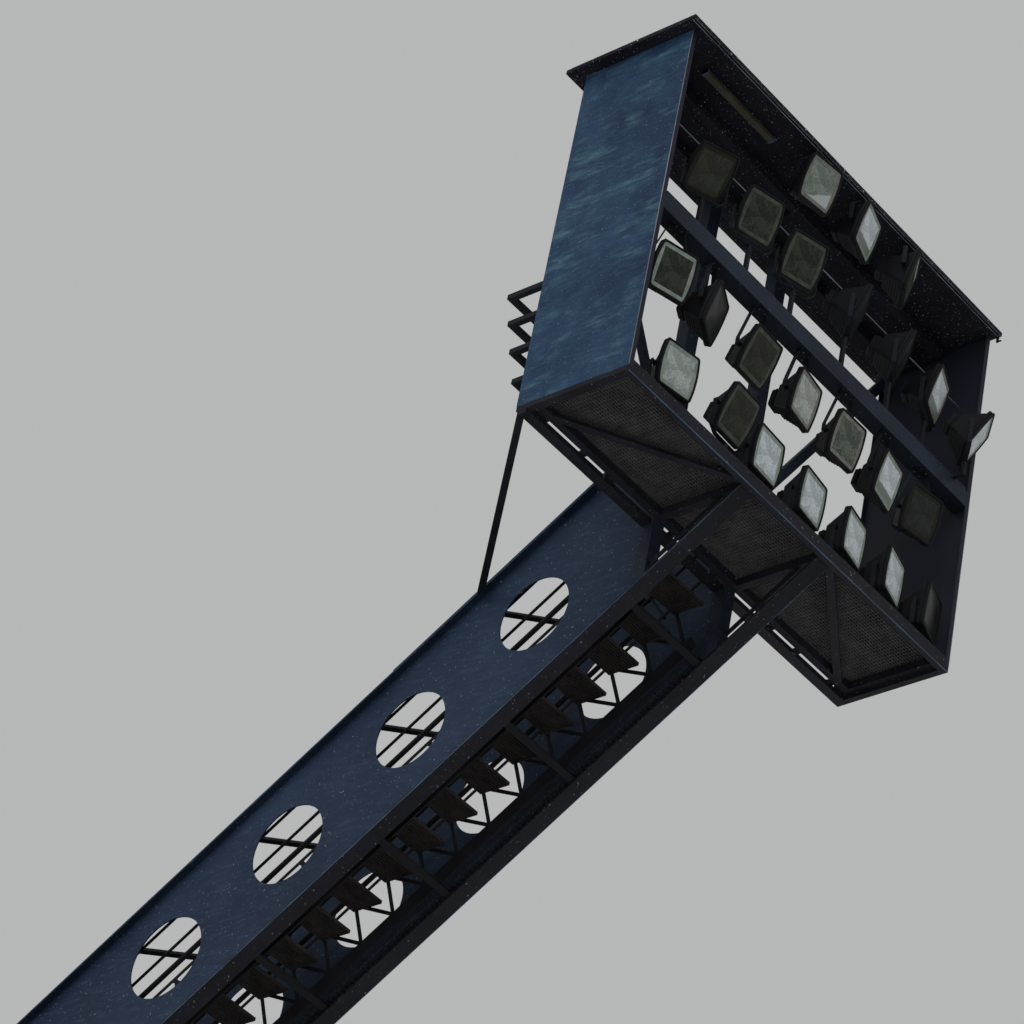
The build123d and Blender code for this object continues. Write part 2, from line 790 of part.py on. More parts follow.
for side, word in ((-1, "left"), (1, "right")):
    keep(f"{word}_girder_web", girder_web(side))
    keep(f"{word}_front_flange", front_flange(side))
    keep(f"{word}_back_flange", back_flange(side))
    keep(f"{word}_stair_truss", stair_truss(side))
    keep(f"{word}_handrail", handrail(side))
    keep(f"{word}_side_panel", side_panel(side))
keep("back_bracing", back_bracing())
keep("cross_beams", cross_beams())
keep("upper_treads", treads(range(tread_count // 2)))
keep("lower_treads", treads(range(tread_count // 2, tread_count)))
keep("cable_tray", cable_tray())
keep("conduit", conduit())
keep("junction_boxes", junction_boxes())
keep("base_plate", base_plate())
keep("base_gussets", base_gussets())
keep("roof_sheet", roof_sheet())
keep("roof_frame", roof_frame())
keep("floor_frame", floor_frame())
keep("floor_grating", floor_grating())
keep("mid_lamp_beam", mid_lamp_beam())
keep("rear_posts", rear_posts())
keep("rear_braces", rear_braces())
keep("outrigger_struts", outrigger_struts())
keep("rear_guard", rear_guard())
keep("strip_light", strip_light())
lamp_rows_parts()
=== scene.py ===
import json
import math

import bpy
import numpy as np
from mathutils import Matrix, Vector


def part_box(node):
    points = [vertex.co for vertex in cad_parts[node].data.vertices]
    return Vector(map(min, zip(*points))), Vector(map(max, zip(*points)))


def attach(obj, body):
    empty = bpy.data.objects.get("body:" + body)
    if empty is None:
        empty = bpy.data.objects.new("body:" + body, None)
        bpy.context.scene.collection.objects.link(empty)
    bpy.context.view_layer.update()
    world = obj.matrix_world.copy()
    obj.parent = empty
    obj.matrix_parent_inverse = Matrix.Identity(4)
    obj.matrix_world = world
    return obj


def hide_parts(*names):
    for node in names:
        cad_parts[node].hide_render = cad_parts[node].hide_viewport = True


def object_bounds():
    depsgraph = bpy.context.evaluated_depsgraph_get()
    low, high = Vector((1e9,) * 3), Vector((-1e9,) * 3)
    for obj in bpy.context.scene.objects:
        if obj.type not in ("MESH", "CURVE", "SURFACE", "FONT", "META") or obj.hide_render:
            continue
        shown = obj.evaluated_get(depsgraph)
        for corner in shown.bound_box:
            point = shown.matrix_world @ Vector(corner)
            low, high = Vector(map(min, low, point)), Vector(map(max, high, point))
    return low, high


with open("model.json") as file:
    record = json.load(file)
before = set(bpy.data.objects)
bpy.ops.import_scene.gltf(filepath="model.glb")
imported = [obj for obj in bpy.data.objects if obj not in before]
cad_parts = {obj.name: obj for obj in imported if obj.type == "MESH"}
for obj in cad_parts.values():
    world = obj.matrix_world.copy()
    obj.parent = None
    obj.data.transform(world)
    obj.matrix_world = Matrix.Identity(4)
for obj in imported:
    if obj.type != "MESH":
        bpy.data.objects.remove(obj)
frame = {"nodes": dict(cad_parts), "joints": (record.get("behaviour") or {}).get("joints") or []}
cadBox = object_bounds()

scene = bpy.context.scene
nodes = frame["nodes"]
rootBody = "pylon"
lean = math.radians(35)    # the mast's angle above the ground


# mesh helpers, all on whole arrays: a shape is its points and a list of blocks of faces of like size

def addPiece(name, points, faces, material, body, slot, smooth=False, faceSlots=None, flat=None):
    # flat is the piece's own pair of coordinates for each point, kept as its UV map
    mesh = bpy.data.meshes.new(name)
    mesh.from_pydata(np.asarray(points).tolist(), [], sum([block.tolist() for block in faces], []))
    materials = material if isinstance(material, (list, tuple)) else [material]
    for entry in materials:
        mesh.materials.append(entry)
    if faceSlots is not None:
        mesh.polygons.foreach_set("material_index", np.asarray(faceSlots, np.int32))
    mesh.polygons.foreach_set("use_smooth", np.full(len(mesh.polygons), smooth))
    mesh.validate()
    mesh.update()
    if flat is not None:
        cornerPoints = np.zeros(len(mesh.loops), np.int32)
        mesh.loops.foreach_get("vertex_index", cornerPoints)
        layer = mesh.uv_layers.new(name="flat")
        layer.data.foreach_set("uv", np.asarray(flat, np.float32)[cornerPoints].ravel())
    piece = bpy.data.objects.new(name, mesh)
    scene.collection.objects.link(piece)
    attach(piece, body)
    return piece


def joined(parts):
    # several (points, faces) pairs become one, each set of faces counted on from the last
    starts = np.cumsum([0] + [len(points) for points, faces in parts[:-1]])
    points = np.concatenate([points for points, faces in parts])
    return points, [block + start for (_, faces), start in zip(parts, starts) for block in faces]


boxCorners = np.array([(x, y, z) for x in (-1, 1) for y in (-1, 1) for z in (-1, 1)], float)
boxFaces = np.array([(0, 1, 3, 2), (4, 6, 7, 5), (0, 4, 5, 1), (2, 3, 7, 6), (0, 2, 6, 4), (1, 5, 7, 3)])


def boxes(centres, halfSizes, axes=None):
    # every box is its centre plus the eight corner signs times the half sizes along its three axes
    centres = np.atleast_2d(centres).astype(float)
    count = len(centres)
    halfSizes = np.broadcast_to(np.atleast_2d(halfSizes), (count, 3))
    axes = np.broadcast_to(np.eye(3) if axes is None else axes, (count, 3, 3))
    corners = boxCorners[None] * halfSizes[:, None, :]
    points = centres[:, None, :] + np.einsum("nki,nij->nkj", corners, axes)
    faces = boxFaces[None] + 8 * np.arange(count)[:, None, None]
    return points.reshape(-1, 3), [faces.reshape(-1, 4)]


def discs(centres, axis, across, radius, height, sides=6):
    # short prisms: a ring of sides at the foot, the same ring at the top, and a cap on each
    centres = np.atleast_2d(centres).astype(float)
    count = len(centres)
    axis = np.broadcast_to(axis, (count, 3))
    across = np.broadcast_to(across, (count, 3))
    other = np.cross(axis, across)
    angle = 2 * np.pi * np.arange(sides) / sides
    ring = radius * (np.cos(angle)[None, :, None] * across[:, None] + np.sin(angle)[None, :, None] * other[:, None])
    low = centres[:, None] + ring
    points = np.concatenate([low, low + height * axis[:, None]], 1).reshape(-1, 3)
    step = np.arange(sides)
    walls = np.stack([step, (step + 1) % sides, (step + 1) % sides + sides, step + sides], 1)
    caps = np.stack([step[::-1], step + sides])
    starts = 2 * sides * np.arange(count)[:, None, None]
    return points, [(walls + starts).reshape(-1, 4), (caps + starts).reshape(-1, sides)]


def loft(rings, closeStart=True, closeEnd=True):
    # rings is stations by ring points by 3: neighbouring rings are joined by quads, and the ends are capped
    stations, around = rings.shape[:2]
    grid = np.arange(stations * around).reshape(stations, around)
    ahead = np.roll(grid, -1, 1)
    faces = [np.stack([grid[:-1], ahead[:-1], ahead[1:], grid[1:]], -1).reshape(-1, 4)]
    if closeStart:
        faces.append(grid[:1, ::-1])
    if closeEnd:
        faces.append(grid[-1:])
    return rings.reshape(-1, 3), faces


def tubeAlong(path, radius, sides=8):
    # a ring of points round each point of the path, square to the path's mean direction there
    path = np.asarray(path, float)
    along = np.gradient(path, axis=0)
    along /= np.linalg.norm(along, axis=1)[:, None]
    up = np.where(np.abs(along[:, 2:3]) > 0.95, [[1.0, 0, 0]], [[0, 0, 1.0]])
    side = np.cross(along, up)
    side /= np.linalg.norm(side, axis=1)[:, None]
    other = np.cross(along, side)
    angle = 2 * np.pi * np.arange(sides) / sides
    ring = np.cos(angle)[None, :, None] * side[:, None] + np.sin(angle)[None, :, None] * other[:, None]
    return loft((path[:, None] + radius * ring)[:, ::-1])


def boxOf(node):
    low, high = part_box(node)
    return np.array(low), np.array(high)


# materials

def newMaterial(name):
    material = bpy.data.materials.new(name)
    material.use_nodes = True
    tree = material.node_tree
    return material, tree, tree.nodes["Principled BSDF"]


def objectPattern(tree, stretch=(1, 1, 1), turn=(0, 0, 0)):
    place = tree.nodes.new("ShaderNodeTexCoord")
    mapping = tree.nodes.new("ShaderNodeMapping")
    mapping.inputs["Scale"].default_value = stretch
    mapping.inputs["Rotation"].default_value = turn
    tree.links.new(place.outputs["Object"], mapping.inputs["Vector"])
    return mapping.outputs["Vector"]


def noise(tree, vector, scale, detail=4, roughness=0.55):
    node = tree.nodes.new("ShaderNodeTexNoise")
    node.inputs["Scale"].default_value = scale
    node.inputs["Detail"].default_value = detail
    node.inputs["Roughness"].default_value = roughness
    tree.links.new(vector, node.inputs["Vector"])
    return node.outputs["Fac"]


def ramp(tree, value, stops):
    node = tree.nodes.new("ShaderNodeValToRGB")
    node.color_ramp.elements[0].position = stops[0][0]
    node.color_ramp.elements[0].color = (*stops[0][1], 1)
    node.color_ramp.elements[1].position = stops[-1][0]
    node.color_ramp.elements[1].color = (*stops[-1][1], 1)
    for position, colour in stops[1:-1]:
        node.color_ramp.elements.new(position).color = (*colour, 1)
    tree.links.new(value, node.inputs["Fac"])
    return node.outputs["Color"]


def mask(tree, value, low, high):
    return ramp(tree, value, [(low, (0, 0, 0)), (high, (1, 1, 1))])


def mixed(tree, factor, first, second, kind="MIX"):
    node = tree.nodes.new("ShaderNodeMix")
    node.data_type = "RGBA"
    node.blend_type = kind
    if isinstance(factor, float):
        node.inputs["Factor"].default_value = factor
    else:
        tree.links.new(factor, node.inputs["Factor"])
    for socket, value in ((node.inputs[6], first), (node.inputs[7], second)):
        if isinstance(value, tuple):
            socket.default_value = (*value, 1)
        else:
            tree.links.new(value, socket)
    return node.outputs[2]


def bump(tree, value, shader, strength, distance):
    node = tree.nodes.new("ShaderNodeBump")
    node.inputs["Strength"].default_value = strength
    node.inputs["Distance"].default_value = distance
    tree.links.new(value, node.inputs["Height"])
    tree.links.new(node.outputs["Normal"], shader.inputs["Normal"])


def linear(red, green, blue):
    # a colour given as it shows on screen, 0 to 255, turned to the scene's own scale
    values = np.array([red, green, blue]) / 255
    return tuple(float(v) for v in np.where(values <= 0.04045, values / 12.92, ((values + 0.055) / 1.055) ** 2.4))


def downShade(tree, colour, share):
    # painted shade: where a face looks down, the paint keeps only this share of its tone, for the shade that falls
    # under things
    facing = tree.nodes.new("ShaderNodeNewGeometry")
    split = tree.nodes.new("ShaderNodeSeparateXYZ")
    tree.links.new(facing.outputs["Normal"], split.inputs["Vector"])
    spread = tree.nodes.new("ShaderNodeMapRange")
    spread.inputs["From Min"].default_value = -0.75
    spread.inputs["From Max"].default_value = -0.15
    spread.inputs["To Min"].default_value = share
    spread.inputs["To Max"].default_value = 1.0
    tree.links.new(split.outputs["Z"], spread.inputs["Value"])
    return mixed(tree, 1.0, colour, spread.outputs["Result"], "MULTIPLY")


def innerShade(tree, colour, half, tone):
    # painted shade: the head's inner faces, which lie nearer to the middle than half along X, take a darker tone for
    # the shade inside the head
    place = tree.nodes.new("ShaderNodeTexCoord")
    split = tree.nodes.new("ShaderNodeSeparateXYZ")
    tree.links.new(place.outputs["Object"], split.inputs["Vector"])
    size = tree.nodes.new("ShaderNodeMath")
    size.operation = "ABSOLUTE"
    tree.links.new(split.outputs["X"], size.inputs[0])
    inside = tree.nodes.new("ShaderNodeMath")
    inside.operation = "LESS_THAN"
    inside.inputs[1].default_value = half
    tree.links.new(size.outputs["Value"], inside.inputs[0])
    return mixed(tree, inside.outputs["Value"], colour, tone)


def paintMaterial(name, settings):
    # weathered paint: two tones in patches, fine hair scratches and wider scuffs drawn out along one way, and specks.
    # under is the share of its tone that a face keeps where it looks down, as painted shade
    material, tree, shader = newMaterial(name)
    plain = objectPattern(tree)
    drawn = objectPattern(tree, settings["streakStretch"], settings.get("streakTurn", (0, 0, 0)))
    patches = noise(tree, plain, settings["patchScale"], 6, 0.6)
    colour = ramp(tree, patches, [(0.34, settings["dark"]), (0.66, settings["light"])])
    patchy = mask(tree, noise(tree, plain, settings["patchScale"] * 1.7, 3), 0.40, 0.60)
    hairs = mask(tree, noise(tree, drawn, settings["streakScale"] * 3.5, 5, 0.6), 0.50, 0.74)
    colour = mixed(tree, mixed(tree, settings["hairShare"], (0.0, 0.0, 0.0), hairs), colour, settings["faded"])
    scuffs = mask(tree, noise(tree, drawn, settings["streakScale"], 9, 0.75), *settings["streakRange"])
    scuffs = mixed(tree, 1.0, scuffs, patchy, "MULTIPLY")
    faded = mixed(tree, scuffs, colour, settings["faded"])
    specks = mask(tree, noise(tree, plain, settings["speckScale"], 2, 0.5), 0.69, 0.73)
    speckled = mixed(tree, specks, faded, settings["speck"])
    if "innerHalf" in settings:
        speckled = innerShade(tree, speckled, settings["innerHalf"], settings["innerTone"])
    tree.links.new(downShade(tree, speckled, settings["under"]), shader.inputs["Base Color"])
    rough = ramp(tree, patches, [(0.3, (settings["rough"] - 0.07,) * 3), (0.7, (settings["rough"] + 0.08,) * 3)])
    tree.links.new(rough, shader.inputs["Roughness"])
    shader.inputs["Specular IOR Level"].default_value = settings["gloss"]
    bump(tree, noise(tree, plain, 9, 6), shader, 0.25, 0.004)
    return material


def steelMaterial(name, dark, light, rough, metallic=0.0, scale=7.0, gloss=0.1, under=1.0):
    material, tree, shader = newMaterial(name)
    plain = objectPattern(tree)
    grains = noise(tree, plain, scale, 6, 0.65)
    colour = ramp(tree, grains, [(0.3, dark), (0.72, light)])
    specks = mask(tree, noise(tree, plain, 70, 2, 0.5), 0.72, 0.77)
    colour = mixed(tree, specks, colour, tuple(min(1.0, 3 * tone + 0.03) for tone in light))
    # faces that look down keep only the share under of their tone: painted shade
    tree.links.new(downShade(tree, colour, under), shader.inputs["Base Color"])
    tree.links.new(ramp(tree, grains, [(0.3, (rough - 0.08,) * 3), (0.7, (rough + 0.1,) * 3)]),
                   shader.inputs["Roughness"])
    shader.inputs["Metallic"].default_value = metallic
    shader.inputs["Specular IOR Level"].default_value = gloss
    bump(tree, noise(tree, plain, 40, 4), shader, 0.2, 0.002)
    return material


def glassMaterial(name, dark, light, rough, split=None, depth=0.85):
    # a lamp's glass on the glass's own flat coordinates: a mottle whose deepest tone is the dark one times depth. split
    # paints a reflection on the glass: a second tone past a wavy line, given as the tone, the way to it in degrees and
    # how far the line is from the middle
    material, tree, shader = newMaterial(name)
    flat = tree.nodes.new("ShaderNodeUVMap")
    flat.uv_map = "flat"
    vector = flat.outputs["UV"]
    deeper = tuple(depth * value for value in dark)
    brighter = tuple(1.12 * value for value in light)
    mottle = noise(tree, vector, 6, 6, 0.7)
    colour = ramp(tree, mottle, [(0.36, deeper), (0.47, dark), (0.56, light), (0.66, brighter)])
    ridges = noise(tree, vector, 45, 3, 0.7)
    colour = mixed(tree, 0.40, colour, ramp(tree, ridges, [(0.40, deeper), (0.60, brighter)]))
    # painted reflection: past the wavy line the glass takes the second tone
    if split:
        tone, way, offset = split
        turn = tree.nodes.new("ShaderNodeMapping")
        turn.inputs["Rotation"].default_value = (0, 0, -math.radians(way))
        turn.inputs["Location"].default_value = (-offset, 0, 0)
        tree.links.new(vector, turn.inputs["Vector"])
        apart = tree.nodes.new("ShaderNodeSeparateXYZ")
        tree.links.new(turn.outputs["Vector"], apart.inputs["Vector"])
        wave = tree.nodes.new("ShaderNodeMath")
        wave.operation = "MULTIPLY_ADD"
        wave.inputs[1].default_value = 0.05
        tree.links.new(noise(tree, vector, 9, 3), wave.inputs[0])
        tree.links.new(apart.outputs["X"], wave.inputs[2])
        colour = mixed(tree, mask(tree, wave.outputs["Value"], 0.020, 0.030), colour, tone)
    drops = mask(tree, noise(tree, vector, 60, 2, 0.5), 0.70, 0.76)
    colour = mixed(tree, drops, colour, tuple(min(1.0, 1.6 * value + 0.06) for value in light))
    tree.links.new(colour, shader.inputs["Base Color"])
    shader.inputs["Roughness"].default_value = rough
    shader.inputs["Specular IOR Level"].default_value = 0.2
    shader.inputs["Coat Weight"].default_value = 0.06
    shader.inputs["Coat Roughness"].default_value = 0.06
    bump(tree, noise(tree, vector, 14, 2), shader, 0.2, 0.004)
    return material


# panelPaint's inner tone is painted shade for the head's inner faces
panelPaint = paintMaterial("panelPaint", {
    "dark": linear(21, 38, 64), "light": linear(38, 62, 86), "faded": linear(84, 120, 128),
    "speck": linear(120, 140, 152), "patchScale": 2.0, "streakScale": 3.4, "streakStretch": (1, 0.7, 3.4),
    "streakRange": (0.50, 0.80), "hairShare": 0.14, "speckScale": 60, "rough": 0.6, "gloss": 0.1, "under": 0.5,
    "innerHalf": 2.247, "innerTone": linear(32, 33, 44),
})
girderPaint = paintMaterial("girderPaint", {
    "dark": linear(27, 38, 56), "light": linear(36, 49, 68), "faded": linear(58, 78, 96),
    "speck": linear(96, 108, 120), "patchScale": 0.9, "streakScale": 3.0, "streakStretch": (1, 0.5, 3.0),
    "streakTurn": (lean, 0, 0), "streakRange": (0.58, 0.82), "hairShare": 0.25, "speckScale": 45, "rough": 0.6,
    "gloss": 0.1, "under": 0.5,
})
framePaint = paintMaterial("framePaint", {
    "dark": linear(22, 28, 38), "light": linear(34, 42, 54), "faded": linear(54, 66, 80),
    "speck": linear(96, 104, 112), "patchScale": 1.6, "streakScale": 4.0, "streakStretch": (1, 1, 1),
    "streakRange": (0.6, 0.8), "hairShare": 0.15, "speckScale": 50, "rough": 0.6, "gloss": 0.1, "under": 0.45,
})
# painted shade: the roof, its gutter and the hook are seen from below, so their paint is near-black for the shade under
# the roof
roofPaint = paintMaterial("roofPaint", {
    "dark": linear(20, 20, 26), "light": linear(34, 34, 42), "faded": linear(56, 58, 66),
    "speck": linear(176, 178, 182), "patchScale": 1.4, "streakScale": 3.0, "streakStretch": (1, 1, 1),
    "streakRange": (0.62, 0.82), "hairShare": 0.1, "speckScale": 60, "rough": 0.75, "gloss": 0.05, "under": 0.8,
})
darkSteel = steelMaterial("darkSteel", linear(16, 18, 24), linear(28, 31, 38), 0.6, under=0.6)
# painted shade: the stair, its rails, bracing and cross beams are near-black for the shade inside the mast
stairPaint = steelMaterial("stairPaint", linear(15, 15, 18), linear(26, 26, 30), 0.65, under=0.6)
# painted shade: a near-black copy of the blue girder paint for the front flanges and the floor frame, which face down
# into shade
flangePaint = paintMaterial("flangePaint", {
    "dark": linear(20, 20, 25), "light": linear(31, 31, 38), "faded": linear(46, 50, 60),
    "speck": linear(110, 110, 112), "patchScale": 2.2, "streakScale": 5.0, "streakStretch": (1, 1, 1),
    "streakRange": (0.6, 0.8), "hairShare": 0.15, "speckScale": 40, "rough": 0.65, "gloss": 0.1, "under": 0.8,
})
gratingSteel = steelMaterial("gratingSteel", linear(48, 47, 49), linear(76, 74, 75), 0.65)
treadSteel = steelMaterial("treadSteel", linear(34, 31, 31), linear(60, 56, 54), 0.65)
housingPaint = steelMaterial("housingPaint", linear(12, 12, 14), linear(22, 23, 26), 0.6, scale=11)
trayZinc = steelMaterial("trayZinc", linear(34, 36, 42), linear(56, 60, 68), 0.5, 0.2, under=0.5)
pipePaint = steelMaterial("pipePaint", linear(30, 36, 46), linear(50, 58, 70), 0.5)
boltSteel = steelMaterial("boltSteel", linear(60, 64, 70), linear(110, 114, 118), 0.45, 0.4)
# painted highlight: a paler blue for the rods along the flanges' and the floor's front edges, which show as pale lines
wornEdge = steelMaterial("wornEdge", linear(28, 40, 58), linear(70, 90, 114), 0.5, scale=3.0, gloss=0.15)
# a pale paint: painted highlight on the panels' folds and the roof's front edge, and also the lamp rail's tone
wornPale = steelMaterial("wornPale", linear(70, 76, 84), linear(132, 138, 142), 0.5, scale=3.0, gloss=0.3)
boxPlastic = steelMaterial("boxPlastic", linear(40, 46, 56), linear(58, 66, 78), 0.55)
battenPlastic = steelMaterial("battenPlastic", linear(44, 42, 34), linear(66, 62, 50), 0.55)
# the seal and glass copies below differ in tone only: painted reflections, set lamp by lamp in lampGlasses
sealPale = steelMaterial("sealPale", linear(92, 100, 92), linear(128, 138, 128), 0.5, scale=16)
sealDim = steelMaterial("sealDim", linear(44, 47, 40), linear(72, 76, 66), 0.5, scale=16)
sealWarm = steelMaterial("sealWarm", linear(84, 84, 78), linear(116, 116, 108), 0.5, scale=16)
sealDark = steelMaterial("sealDark", linear(20, 21, 14), linear(34, 36, 24), 0.5, scale=16)
glassPale = glassMaterial("glassPale", linear(136, 142, 144), linear(172, 178, 180), 0.3)
glassGrey = glassMaterial("glassGrey", linear(112, 118, 114), linear(146, 152, 146), 0.3)
glassSage = glassMaterial("glassSage", linear(48, 54, 46), linear(82, 88, 78), 0.3, depth=0.6)
glassOlive = glassMaterial("glassOlive", linear(16, 18, 13), linear(44, 48, 38), 0.3, depth=0.4)
glassDeep = glassMaterial("glassDeep", linear(15, 17, 7), linear(34, 37, 20), 0.35, depth=0.4)
glassDim = glassMaterial("glassDim", linear(12, 12, 13), linear(28, 29, 30), 0.35, depth=0.5)
# these three glasses carry a painted reflection past a wavy line
glassHalf = glassMaterial("glassHalf", linear(146, 152, 154), linear(178, 184, 186), 0.3,
                          (linear(92, 98, 92), -90, 0.09))
glassLow = glassMaterial("glassLow", linear(84, 92, 84), linear(112, 120, 112), 0.3,
                         (linear(150, 156, 154), -60, 0.10))
glassTip = glassMaterial("glassTip", linear(34, 37, 28), linear(56, 60, 46), 0.3,
                         (linear(176, 182, 184), 80, 0.12))
print("materials made")

nodeMaterials = {
    "girder_web": girderPaint, "front_flange": flangePaint, "back_flange": girderPaint, "side_panel": panelPaint,
    "stair_truss": stairPaint, "handrail": stairPaint, "back_bracing": stairPaint, "cross_beams": stairPaint,
    "treads": treadSteel, "cable_tray": trayZinc, "conduit": pipePaint, "junction_boxes": boxPlastic,
    "base_plate": framePaint, "base_gussets": framePaint, "roof_sheet": roofPaint, "roof_frame": roofPaint,
    "floor_frame": flangePaint, "floor_grating": gratingSteel, "mid_lamp_beam": framePaint,
    "rear_posts": framePaint, "rear_braces": framePaint, "outrigger_struts": darkSteel,
    "rear_guard": darkSteel, "strip_light": battenPlastic, "stirrups": darkSteel, "lamp_": housingPaint,
}
for nodeName, cadObject in nodes.items():
    finish = next((m for word, m in nodeMaterials.items() if word in nodeName), framePaint)
    cadObject.data.materials.clear()
    cadObject.data.materials.append(finish)

# the mast's own directions: across it, down along it, and from its front flanges to its back ones
downMast = np.array([0, math.cos(lean), -math.sin(lean)])
backWay = np.array([0, math.sin(lean), math.cos(lean)])
acrossWay = np.array([1.0, 0, 0])
mastAxes = np.stack([acrossWay, downMast, backWay])


# floodlights: a lofted housing, a rim, a reflector's border and a glass for each lamp joint

# rimProfile and boxProfile are rows of an inset from the outline and a way back, in metres: from the rim's front, and
# from the gear box's front. The rim has a shallow groove round it, and the box a lid that stands out a little
lampSettings = {
    "halfWide": 0.200, "halfTall": 0.225, "bulge": 0.022, "corner": 0.10, "sidePoints": 9, "cornerPoints": 4,
    "front": 0.110, "rimDepth": 0.060, "rimLip": 0.017, "recess": 0.012, "borderWide": 0.038,
    "rimProfile": ((0.005, 0.0), (0.0, 0.005), (0.0, 0.024), (0.005, 0.026), (0.005, 0.031), (0.0, 0.033),
                   (0.0, 0.055), (0.005, 0.060)),
    "bodyLong": 0.180, "bodyStations": 8, "shoulder": 0.033, "shoulderTall": 0.022, "backWide": 0.105,
    "backTall": 0.115, "boxWide": 0.075, "boxTall": 0.085, "boxLong": 0.090,
    "boxProfile": ((0.006, -0.002, 0.15), (0.006, 0.033, 0.15), (0.0, 0.035, 0.15), (0.0, 0.047, 0.15),
                   (0.004, 0.049, 0.15), (0.006, 0.082, 0.2), (0.014, 0.090, 0.25)),
    "ribCount": 6, "ribDeep": 0.004, "bossRadius": 0.022, "bossOut": 0.0415, "clamp": (0.013, 0.008, 0.026),
}


def lampRing(s, inset, ahead, bulge, corner=None, half=None):
    # a square with rounded corners in u and v from -1 to 1: its right side and one corner, turned four times.
    # x is u times the half width less the bulge times v squared, y is v times the half height
    corner = s["corner"] if corner is None else corner
    half = (s["halfWide"], s["halfTall"]) if half is None else half
    rise = np.linspace(-(1 - corner), 1 - corner, s["sidePoints"])
    angle = np.linspace(0, np.pi / 2, s["cornerPoints"] + 2)[1:-1]
    quarter = np.concatenate([
        np.stack([np.ones_like(rise), rise], 1),
        1 - corner + corner * np.stack([np.cos(angle), np.sin(angle)], 1),
    ])
    turned = np.stack([-quarter[:, 1], quarter[:, 0]], 1)
    u, v = np.concatenate([quarter, turned, -quarter, -turned]).T
    x = u * (half[0] - inset - bulge * v ** 2)
    y = v * (half[1] - inset)
    return np.stack([x, y, np.full_like(x, ahead)], 1)


def lampAim(node, across):
    # the way the lamp shines: the widest flat face of its solid that looks ahead, square to its tilt axis
    mesh = nodes[node].data
    normals = np.zeros(len(mesh.polygons) * 3)
    mesh.polygons.foreach_get("normal", normals)
    areas = np.zeros(len(mesh.polygons))
    mesh.polygons.foreach_get("area", areas)
    normals = normals.reshape(-1, 3)
    forward = np.cross(across, [0, 0, 1.0])
    facing = (np.abs(normals @ across) < 0.01) & (normals @ forward > 0.5)
    rounded, group = np.unique(normals[facing].round(3), axis=0, return_inverse=True)
    totals = np.bincount(group.ravel(), areas[facing])
    aim = rounded[np.argmax(totals)]
    return aim / np.linalg.norm(aim)


def lampHousing(s):
    # rings from the glass's edge, over the lip, round the rim and back over the shoulder, then along the tapered
    # body, whose half sizes go straight from the shoulder to the back
    front, lip, bulge = s["front"], s["rimLip"], s["bulge"]
    rimBack = front - s["rimDepth"]
    stations = [lampRing(s, lip, front - s["recess"], bulge), lampRing(s, lip, front - 0.003, bulge),
                lampRing(s, lip - 0.003, front, bulge)]
    stations += [lampRing(s, inset, front - back, bulge) for inset, back in s["rimProfile"]]
    start = np.array([s["halfWide"] - s["shoulder"], s["halfTall"] - s["shoulderTall"]])
    finish = np.array([s["backWide"], s["backTall"]])
    for share in np.linspace(0.0, 1.0, s["bodyStations"]):
        half = start + (finish - start) * share - 0.001
        stations.append(lampRing(s, 0.0, rimBack - 0.001 - (s["bodyLong"] - 0.001) * share, 0.004 * (1 - share),
                                 0.12 + 0.18 * share, half))
    return loft(np.stack(stations)[:, ::-1])


def lampExtras(s):
    # gear box with its lid, cooling ribs across the body's top and bottom, rim clamps and pivot knobs
    rimBack = s["front"] - s["rimDepth"]
    back = rimBack - s["bodyLong"]
    parts = [loft(np.stack([
        lampRing(s, 0.0, back - behind, 0.0, corner, (s["boxWide"] - inset, s["boxTall"] - inset))
        for inset, behind, corner in s["boxProfile"]
    ])[:, ::-1])]
    share = (np.arange(s["ribCount"]) + 0.7) / (s["ribCount"] + 0.4)
    wide = s["halfWide"] - s["shoulder"] + (s["backWide"] - s["halfWide"] + s["shoulder"]) * share
    tall = s["halfTall"] - s["shoulderTall"] + (s["backTall"] - s["halfTall"] + s["shoulderTall"]) * share
    parts.append(boxes(np.stack([0 * share, 0 * share, rimBack - s["bodyLong"] * share], 1),
                       np.stack([wide * 0.8, tall + s["ribDeep"], np.full_like(share, 0.003)], 1)))
    corners = np.array([(x, y) for x in (-0.55, 0.55) for y in (-1.0, 1.0)])
    clamps = np.stack([corners[:, 0] * s["halfWide"], corners[:, 1] * (s["halfTall"] - 0.008),
                       np.full(4, s["front"] - 0.030)], 1)
    parts.append(boxes(clamps, [s["clamp"]]))
    side = np.array([-1.0, 1.0])
    knobs = np.stack([side * (s["halfWide"] - 0.03), 0 * side, 0 * side], 1)
    parts.append(discs(knobs, np.stack([side, 0 * side, 0 * side], 1), (0, 1, 0), s["bossRadius"] - 0.001,
                       s["bossOut"], 16))
    return joined(parts)


def lampGlassMesh(s):
    # a flat border ring with a straight inner edge, and a glass inside it that bows out by a few millimetres. The
    # first three bands of faces take the border's material, the rest the glass's
    inset, border, bulge = s["rimLip"], s["borderWide"], s["bulge"]
    at = s["front"] - s["recess"] + 0.001
    inner = inset + border
    rings = [
        lampRing(s, inset + 0.001, at, bulge, 0.08),
        lampRing(s, inset + 0.003, at + 0.003, bulge, 0.08),
        lampRing(s, inner, at + 0.003, 0.0, 0.02),
        lampRing(s, inner + 0.001, at + 0.001, 0.0, 0.02),
    ]
    span = (s["halfWide"] - inner, s["halfTall"] - inner)
    for share in (0.8, 0.6, 0.4, 0.2, 0.05):
        half = (span[0] * share, span[1] * share)
        rings.append(lampRing(s, 0.0, at + 0.001 + 0.006 * (1 - share ** 2), 0.0, 0.02, half))
    points, faces = loft(np.stack(rings), closeStart=False, closeEnd=True)
    slots = np.ones(sum(len(block) for block in faces), int)
    slots[:3 * len(rings[0])] = 0
    return points, faces, slots
